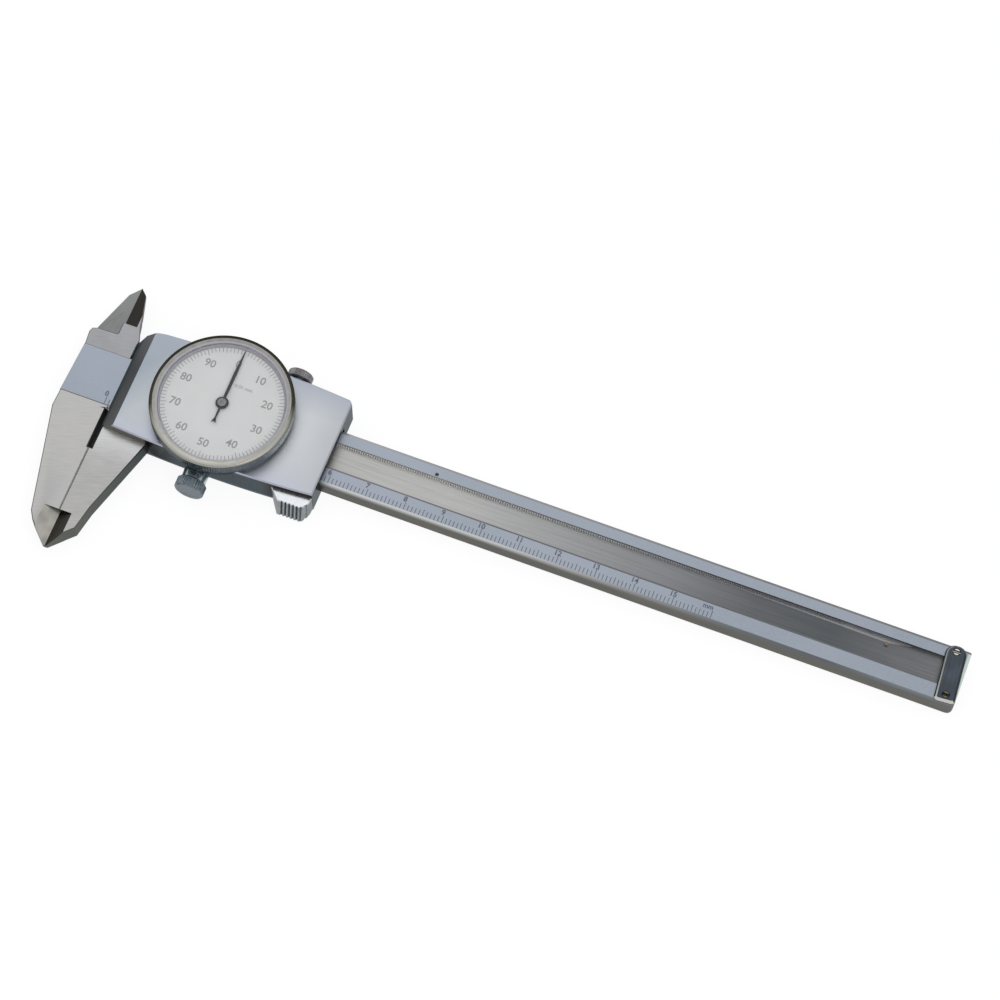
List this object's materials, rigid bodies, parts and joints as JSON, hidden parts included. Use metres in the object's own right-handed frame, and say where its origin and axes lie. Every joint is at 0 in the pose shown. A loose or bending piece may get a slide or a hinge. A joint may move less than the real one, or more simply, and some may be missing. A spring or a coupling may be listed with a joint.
{
  "type": "dial caliper",
  "caption": "Dial caliper: beam with rack, slider with round dial, outside jaws, inside nibs, depth bar and two thumb screws.",
  "frame": {"origin": "on the dial's axis, in the outer face of the slider's back cover, with the jaws closed", "axes": "+X along the beam from the jaws to the end stop, +Y from the outside jaws to the inside nibs, +Z out of the dial"},
  "size_m": [0.2342, 0.0738, 0.014],
  "materials": {
    "bright_steel": "satin ground stainless steel",
    "ground_steel": "fine surface-ground stainless steel",
    "satin_chrome": "satin chrome plate",
    "polished_steel": "polished steel",
    "knurled_chrome": "knurled, chrome plate",
    "brass": "turned brass",
    "spring_steel": "blued spring steel",
    "dial_white": "matt light grey enamel with printed lines and plain numbers",
    "spacer": "moulded, matt grey",
    "hand_black": "black lacquer",
    "cap_grey": "turned, grey",
    "crystal": "clear acrylic"
  },
  "bodies": {
    "beam": {"beam": "bright_steel", "rack": "ground_steel", "rack_screws": "polished_steel", "rack_end_pin": "polished_steel", "end_stop_plate": "polished_steel", "end_stop_screws": "polished_steel"},
    "slider": {"slider_body": "satin_chrome", "back_cover": "satin_chrome", "back_cover_screws": "polished_steel", "depth_bar": "bright_steel", "depth_bar_rivets": "polished_steel", "gib_strip": "brass", "gib_screws": "polished_steel", "bezel_retaining_ring": "spring_steel", "clamp_spring": "spring_steel", "movement_pillars": "brass", "movement_bridge": "brass", "bridge_screws": "polished_steel", "lower_bushes": "brass", "upper_bushes": "brass", "hairspring_stud": "brass"},
    "bezel": {"bezel_ring": "knurled_chrome", "dial_plate": "dial_white", "dial_spacer_ring": "spacer", "crystal": "crystal"},
    "drive": {"drive_arbor": "polished_steel", "drive_wheel": "brass"},
    "pointer": {"centre_arbor": "polished_steel", "pointer_hand": "hand_black", "pointer_cap": "cap_grey"},
    "take_up": {"take_up_arbor": "polished_steel", "take_up_wheel": "brass", "hairspring_collet": "brass", "hairspring": "spring_steel"},
    "lock_pad": {"lock_screw_pad": "brass"},
    "lock_screw": {"lock_screw": "knurled_chrome"},
    "clamp_pad": {"clamp_screw_pad": "brass"},
    "clamp_screw": {"clamp_screw": "knurled_chrome"}
  },
  "joints": [
    {"name": "slide_travel", "type": "slide", "parent": "beam", "child": "slider", "axis": [1, 0, 0], "range_m": [0, 0.15]},
    {"name": "drive_turn", "type": "hinge", "parent": "slider", "child": "drive", "pos_m": [0.00728, 0.00126, 0], "axis": [0, 0, 1], "range_deg": [0, 5401]},
    {"name": "pointer_turn", "type": "hinge", "parent": "slider", "child": "pointer", "pos_m": [0, 0, 0], "axis": [0, 0, 1], "range_deg": [-54010, 0]},
    {"name": "take_up_turn", "type": "hinge", "parent": "slider", "child": "take_up", "pos_m": [-0.00728, -0.00126, 0], "axis": [0, 0, 1], "range_deg": [0, 5401]},
    {"name": "bezel_turn", "type": "hinge", "parent": "slider", "child": "bezel", "pos_m": [0, 0, 0], "axis": [0, 0, 1], "continuous": true},
    {"name": "lock_pad_slide", "type": "slide", "parent": "slider", "child": "lock_pad", "axis": [0, 1, 0], "range_m": [0, 0.00039]},
    {"name": "lock_screw_turn", "type": "hinge", "parent": "lock_pad", "child": "lock_screw", "pos_m": [0.0136, 0, 0.00465], "axis": [0, 1, 0], "range_deg": [0, 359]},
    {"name": "clamp_pad_slide", "type": "slide", "parent": "slider", "child": "clamp_pad", "axis": [0, -1, 0], "range_m": [0, 0.00039]},
    {"name": "clamp_screw_turn", "type": "hinge", "parent": "clamp_pad", "child": "clamp_screw", "pos_m": [-0.0004, 0, 0.00465], "axis": [0, -1, 0], "range_deg": [0, 359]}
  ],
  "couplings": [
    {"joint": "drive_turn", "follows": "slide_travel", "rad_per_m": 628.32},
    {"joint": "pointer_turn", "follows": "slide_travel", "rad_per_m": -6283.2},
    {"joint": "take_up_turn", "follows": "slide_travel", "rad_per_m": 628.32},
    {"joint": "lock_screw_turn", "follows": "lock_pad_slide", "rad_per_m": 15708},
    {"joint": "clamp_screw_turn", "follows": "clamp_pad_slide", "rad_per_m": 15708}
  ]
}
